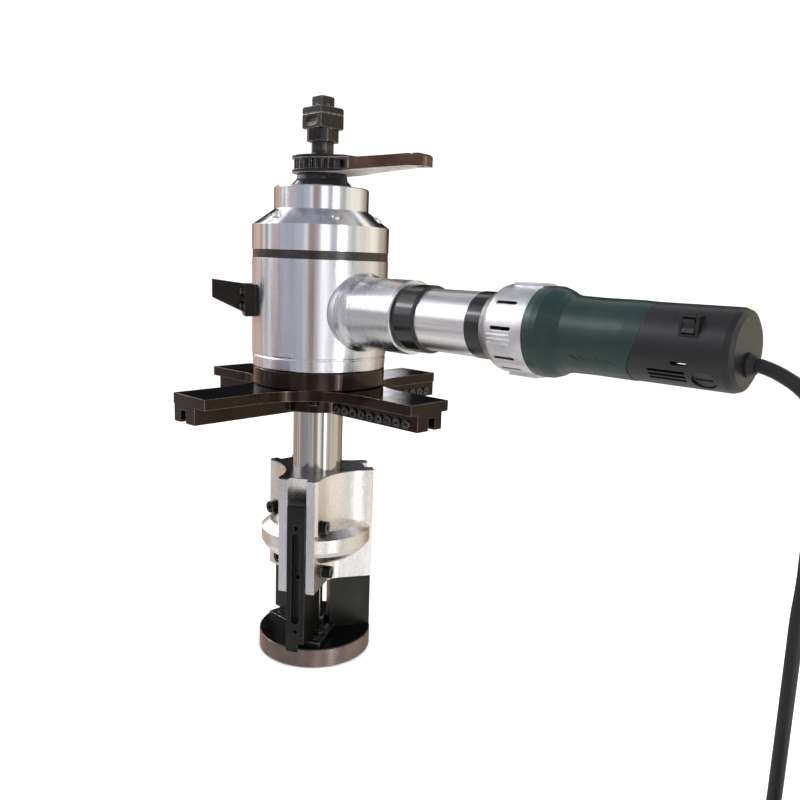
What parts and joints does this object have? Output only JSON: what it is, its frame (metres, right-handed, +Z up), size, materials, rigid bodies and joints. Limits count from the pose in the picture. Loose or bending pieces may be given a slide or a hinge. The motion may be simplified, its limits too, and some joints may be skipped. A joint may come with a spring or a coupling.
{
  "type": "pipe facing machine",
  "caption": "Inside-mounted pipe facing machine: three-jaw expanding mandrel, four-arm cutter head, ratchet feed and an electric motor set square to the mandrel.",
  "frame": {"origin": "centre of the foot disc's underside", "axes": "+Z up along the mandrel, +X along the motor, towards its tail"},
  "size_m": [0.8009, 0.386, 0.585],
  "materials": {
    "black_oxide": "black oxide, brown tint, worn bright at the edges",
    "jaw_steel": "dark grey blasted steel",
    "plain_steel": "ground or turned steel",
    "polished_steel": "hard chromed and polished",
    "alloy": "satin, fine milling marks",
    "housing_alloy": "bright turned",
    "bronze": "bearing bronze",
    "copper": "copper segments",
    "black_screw": "black oxide screws",
    "bright_screw": "zinc plated",
    "gloss_ring": "gloss black",
    "cast_alloy": "fine cast, satin",
    "green_plastic": "dark teal green, satin",
    "grey_plastic": "charcoal, fine grain",
    "black_plastic": "black",
    "cord_rubber": "black rubber sheath",
    "winding": "lacquered windings on laminations"
  },
  "bodies": {
    "draw_bar": {"foot_disc": "black_oxide", "jaw_guide_strips": "black_oxide", "guide_strip_screws": "black_screw", "draw_rod": "plain_steel", "foot_nut": "black_oxide", "rod_square_end": "black_oxide"},
    "front_jaw": {"jaw_front": "jaw_steel"},
    "right_jaw": {"jaw_right": "jaw_steel"},
    "back_jaw": {"jaw_back": "jaw_steel"},
    "mandrel_unit": {"mandrel": "polished_steel", "expander_body": "alloy", "jaw_guide_screws": "black_screw", "thrust_collar": "black_oxide"},
    "clamp_nut_unit": {"clamp_nut": "black_oxide"},
    "drive_head": {"main_housing": "housing_alloy", "spindle_bearing": "plain_steel", "housing_band": "gloss_ring", "top_cover": "housing_alloy", "cover_screws": "bright_screw", "upper_guide_bush": "bronze", "feed_key": "plain_steel", "nut_collar": "gloss_ring", "side_lug": "black_oxide", "side_lug_screws": "black_screw", "pinion_bearings": "plain_steel", "adaptor_ring": "gloss_ring", "gearbox_tube": "housing_alloy", "planet_ring_gear": "plain_steel", "gearbox_ring": "gloss_ring", "vent_ring": "cast_alloy", "rotor_bearings": "plain_steel", "stator": "winding", "motor_housing": "green_plastic", "motor_tail": "grey_plastic", "brush_caps": "black_plastic", "switch_frame": "black_plastic", "cord_boot": "cord_rubber", "cord_free": "cord_rubber", "cord_coil": "cord_rubber", "cord_tie": "black_plastic", "mains_plug": "black_plastic"},
    "feed_nut_unit": {"feed_nut": "plain_steel", "ratchet_wheel": "black_oxide"},
    "lever_unit": {"ratchet_lever": "black_oxide"},
    "pawl_unit": {"ratchet_pawl": "plain_steel"},
    "cutter_unit": {"cutter_plate": "black_oxide", "cutter_head_screws": "black_screw", "hub_disc": "black_oxide", "spindle_sleeve": "plain_steel", "lower_guide_bush": "bronze", "bevel_ring_gear": "plain_steel"},
    "pinion_unit": {"pinion_shaft": "plain_steel", "bevel_pinion": "plain_steel"},
    "planet_1": {"planet_gear_1": "plain_steel"},
    "planet_2": {"planet_gear_2": "plain_steel"},
    "planet_3": {"planet_gear_3": "plain_steel"},
    "rotor_unit": {"rotor": "plain_steel", "cooling_fan": "black_plastic", "commutator": "copper"},
    "rocker_unit": {"switch_rocker": "black_plastic"}
  },
  "joints": [
    {"name": "draw_slide", "type": "slide", "parent": "draw_bar", "child": "mandrel_unit", "axis": [0, 0, -1], "range_m": [0, 0.024]},
    {"name": "front_jaw_slide", "type": "slide", "parent": "draw_bar", "child": "front_jaw", "axis": [0.5, -0.866, 0], "range_m": [0, 0.0072]},
    {"name": "right_jaw_slide", "type": "slide", "parent": "draw_bar", "child": "right_jaw", "axis": [0.5, 0.866, 0], "range_m": [0, 0.0072]},
    {"name": "back_jaw_slide", "type": "slide", "parent": "draw_bar", "child": "back_jaw", "axis": [-1, 0, 0], "range_m": [0, 0.0072]},
    {"name": "clamp_nut_turn", "type": "hinge", "parent": "mandrel_unit", "child": "clamp_nut_unit", "pos_m": [0, 0, 0.5635], "axis": [0, 0, -1], "range_deg": [0, 2880]},
    {"name": "feed_slide", "type": "slide", "parent": "mandrel_unit", "child": "drive_head", "axis": [0, 0, -1], "range_m": [0, 0.05]},
    {"name": "feed_nut_turn", "type": "hinge", "parent": "drive_head", "child": "feed_nut_unit", "pos_m": [0, 0, 0.4959], "axis": [0, 0, -1], "range_deg": [0, 6000]},
    {"name": "lever_swing", "type": "hinge", "parent": "drive_head", "child": "lever_unit", "pos_m": [0, 0, 0.51], "axis": [0, 0, -1], "continuous": true},
    {"name": "pawl_tilt", "type": "hinge", "parent": "lever_unit", "child": "pawl_unit", "pos_m": [0.03458, 0.01118, 0.5138], "axis": [0, 0, 1], "range_deg": [0, 10], "stiffness_Nm_per_rad": 0.02},
    {"name": "cutter_spin", "type": "hinge", "parent": "drive_head", "child": "cutter_unit", "pos_m": [0, 0, 0.2865], "axis": [0, 0, 1], "continuous": true},
    {"name": "pinion_spin", "type": "hinge", "parent": "drive_head", "child": "pinion_unit", "pos_m": [0.1, 0, 0.3745], "axis": [1, 0, 0], "continuous": true},
    {"name": "planet_1_spin", "type": "hinge", "parent": "pinion_unit", "child": "planet_1", "pos_m": [0.1855, 0.015, 0.3745], "axis": [1, 0, 0], "continuous": true},
    {"name": "planet_2_spin", "type": "hinge", "parent": "pinion_unit", "child": "planet_2", "pos_m": [0.1855, -0.0075, 0.38749], "axis": [1, 0, 0], "continuous": true},
    {"name": "planet_3_spin", "type": "hinge", "parent": "pinion_unit", "child": "planet_3", "pos_m": [0.1855, -0.0075, 0.36151], "axis": [1, 0, 0], "continuous": true},
    {"name": "rotor_spin", "type": "hinge", "parent": "drive_head", "child": "rotor_unit", "pos_m": [0.3, 0, 0.3745], "axis": [1, 0, 0], "continuous": true},
    {"name": "switch_rock", "type": "hinge", "parent": "drive_head", "child": "rocker_unit", "pos_m": [0.4118, -0.02513, 0.39], "axis": [-1, 0, 0], "range_deg": [0, 10]}
  ],
  "couplings": [
    {"joint": "clamp_nut_turn", "follows": "draw_slide", "rad_per_m": 2094.4},
    {"joint": "feed_nut_turn", "follows": "feed_slide", "rad_per_m": 2094.4},
    {"joint": "pinion_spin", "follows": "cutter_spin", "ratio": 3.6},
    {"joint": "rotor_spin", "follows": "cutter_spin", "ratio": 18},
    {"joint": "front_jaw_slide", "follows": "draw_slide", "ratio": 0.3},
    {"joint": "right_jaw_slide", "follows": "draw_slide", "ratio": 0.3},
    {"joint": "back_jaw_slide", "follows": "draw_slide", "ratio": 0.3},
    {"joint": "planet_1_spin", "follows": "cutter_spin", "ratio": -9.6},
    {"joint": "planet_2_spin", "follows": "cutter_spin", "ratio": -9.6},
    {"joint": "planet_3_spin", "follows": "cutter_spin", "ratio": -9.6}
  ]
}
